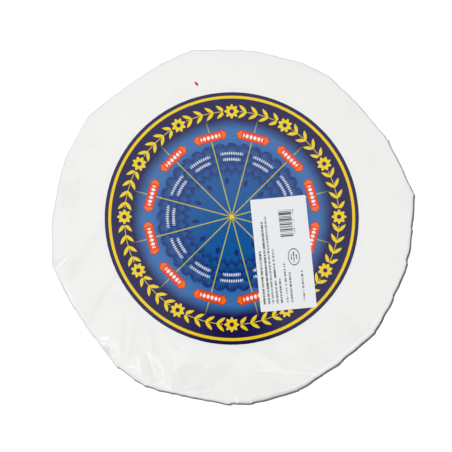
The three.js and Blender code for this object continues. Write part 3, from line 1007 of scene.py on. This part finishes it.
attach(sticker, "root")
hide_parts("data_sticker")

# The table that the wheel is pictured on: plain and pale, white to the eye all the way out, and greyer
# in the light that it throws back on the wheel.
FLOOR_SIZE = 6
FLOOR_DROP = 0.2
TABLE_GREY = (0.5, 0.5, 0.5, 1)
TABLE_WHITE = (0.965, 0.965, 0.965)
TABLE_REACH = 0.8
TABLE_ROUGHNESS = 0.9
bpy.ops.object.select_all(action="DESELECT")
bpy.ops.mesh.primitive_plane_add(size=FLOOR_SIZE, location=(0, 0, -FLOOR_DROP * MM))
floor = bpy.context.object
floor.name = "pale_floor"
table, table_tree, table_sockets = new_material("pale_table")
table_sockets["Roughness"].default_value = TABLE_ROUGHNESS
table_sockets["Specular IOR Level"].default_value = 0
table_seen = add_node(table_tree, "LightPath").outputs["Is Camera Ray"]
table_place = add_node(table_tree, "TexCoord")
table_spread = add_node(table_tree, "VectorMath", operation="LENGTH")
table_tree.links.new(table_place.outputs["Object"], table_spread.inputs[0])
table_away = figure(table_tree, "DIVIDE", table_spread.outputs["Value"], TABLE_REACH)
table_glow = plain_length(table_tree, table_away, 1.0)
table_white = add_node(table_tree, "VectorMath", operation="SCALE")
table_white.inputs[0].default_value = TABLE_WHITE
table_tree.links.new(table_glow, table_white.inputs["Scale"])
table_colour = paint(table_tree, TABLE_GREY, table_seen, table_white.outputs[0])
feed(table_tree, table_sockets["Base Color"], table_colour)
floor.data.materials.append(table)

# Soft studio light: a pale tent that is brightest overhead and has two dark gaps near the camera, and
# a low glow all round that lights the side but does not show in the gloss.
TENT_TOWARDS = Vector((0.2, 0.3, 1)).normalized()
TENT_SPAN = (0.15, 0.92)
TENT_DARK = 0.2
TENT_BRIGHT = 1.0
TENT_FILL = 0.08
LOW_GLOW = 1.05
LOW_GLOW_TOP = 0.34
GAPS = (((0.006, 0.045), (0.035, 0.075)), ((0.035, 0.085), (-0.1, 0.075)))
GAP_EDGE = 0.02
GAP_DEPTH = 0.97
world = bpy.context.scene.world or bpy.data.worlds.new("soft_tent")
bpy.context.scene.world = world
world.use_nodes = True
tent = world.node_tree
tent_sum = functools.partial(figure, tent)
tent_place = add_node(tent, "TexCoord").outputs["Generated"]
tent_x, tent_y, tent_z = parts_of(tent, tent_place)
tent_dot = add_node(tent, "VectorMath", operation="DOT_PRODUCT")
tent.links.new(tent_place, tent_dot.inputs[0])
tent_dot.inputs[1].default_value = TENT_TOWARDS
tent_range = add_node(tent, "MapRange", interpolation_type="SMOOTHSTEP")
tent_values = (tent_dot.outputs["Value"], *TENT_SPAN, TENT_DARK, TENT_BRIGHT)
for socket, value in zip(tent_range.inputs, tent_values):
    feed(tent, socket, value)
tent_above = tent_sum("GREATER_THAN", tent_z, 0.0)
tent_left = 1.0
for sides in GAPS:
    gap = tent_above
    for part, (centre, half) in zip((tent_x, tent_y), sides):
        aside = tent_sum("ABSOLUTE", tent_sum("SUBTRACT", part, centre))
        gap = tent_sum("MULTIPLY", gap, soft_step(tent, aside, half + GAP_EDGE, half - GAP_EDGE))
    tent_left = tent_sum("MINIMUM", tent_left, tent_sum("MULTIPLY_ADD", gap, -GAP_DEPTH, 1.0))
tent_light = add_node(tent, "LightPath").outputs
tent_share = tent_sum("MULTIPLY_ADD", tent_light["Is Glossy Ray"], 1 - TENT_FILL, TENT_FILL)
tent_glow = tent_sum("MULTIPLY", tent_sum("MULTIPLY", tent_range.outputs[0], tent_left), tent_share)
low_share = tent_sum("MULTIPLY_ADD", tent_light["Is Glossy Ray"], -LOW_GLOW, LOW_GLOW)
low_glow = tent_sum("MULTIPLY", soft_step(tent, tent_z, LOW_GLOW_TOP, 0.0), low_share)
tent_glow = tent_sum("MAXIMUM", tent_sum("ADD", tent_glow, low_glow), tent_light["Is Camera Ray"])
tent.links.new(tent_glow, tent.nodes["Background"].inputs["Strength"])
tent.nodes["Background"].inputs["Color"].default_value = (1, 1, 1, 1)

# A small main lamp hangs close above the wheel, so that only a thin shadow shows on the near right.
MAIN_LAMP_ASIDE = Vector((-0.049, -0.055))
MAIN_LAMP_HEIGHT = 0.96
MAIN_LAMP_RADIUS = 0.004
MAIN_LAMP_POWER = 39.6
main_place = (*(wheel_axis + MAIN_LAMP_ASIDE), MAIN_LAMP_HEIGHT)
bpy.ops.object.light_add(type="POINT", location=main_place)
main_lamp = bpy.context.object
main_lamp.name = "main_lamp"
main_lamp.data.energy = MAIN_LAMP_POWER
main_lamp.data.shadow_soft_size = MAIN_LAMP_RADIUS
main_lamp.data.use_nodes = True
main_lamp.visible_glossy = False
main_lamp.visible_camera = False
lamp_tree = main_lamp.data.node_tree
lamp_reach = add_node(lamp_tree, "LightFalloff")
lamp_reach.inputs["Strength"].default_value = 1.0
lamp_tree.links.new(lamp_reach.outputs["Constant"], lamp_tree.nodes["Emission"].inputs["Strength"])

# A lower lamp on the far left gives the glints on the film.
GLINT_LAMP_PLACE = Vector((-1.0, 0.7, 0.6))
GLINT_LAMP_SIZE = 0.6
GLINT_LAMP_POWER = 1.5
bpy.ops.object.light_add(type="AREA", location=GLINT_LAMP_PLACE)
glint_lamp = bpy.context.object
glint_lamp.name = "glint_lamp"
glint_lamp.data.size = GLINT_LAMP_SIZE
glint_lamp.data.energy = GLINT_LAMP_POWER
glint_lamp.visible_camera = False
glint_lamp.rotation_euler = (-GLINT_LAMP_PLACE).to_track_quat("-Z", "Y").to_euler()

# The camera: almost straight above, a little towards the near side, placed so that the hub of the
# label falls on its pixel of the photograph.
PHOTO_SIDE = 452
HUB_PIXEL = (231.73, 216.74)
FOCAL_PIXELS = 962.8
CAMERA_DISTANCE = 0.95
CAMERA_TILT = math.radians(6)
SENSOR = 36
hub = Vector((label_centre.x, label_centre.y, label_high.z))
lift_ratio = (PHOTO_SIDE / 2 - HUB_PIXEL[1]) / FOCAL_PIXELS
hub_up = CAMERA_DISTANCE * lift_ratio / (math.cos(CAMERA_TILT) - lift_ratio * math.sin(CAMERA_TILT))
hub_depth = CAMERA_DISTANCE + hub_up * math.sin(CAMERA_TILT)
hub_right = (HUB_PIXEL[0] - PHOTO_SIDE / 2) * hub_depth / FOCAL_PIXELS
aim = hub - Vector((hub_right, hub_up, 0))
back = Vector((0, -math.sin(CAMERA_TILT), math.cos(CAMERA_TILT)))
bpy.ops.object.camera_add(location=aim + CAMERA_DISTANCE * back, rotation=(CAMERA_TILT, 0, 0))
camera = bpy.context.object
camera.data.sensor_width = SENSOR
camera.data.lens = FOCAL_PIXELS * SENSOR / PHOTO_SIDE
bpy.context.scene.camera = camera
bpy.context.scene.view_settings.view_transform = "Standard"
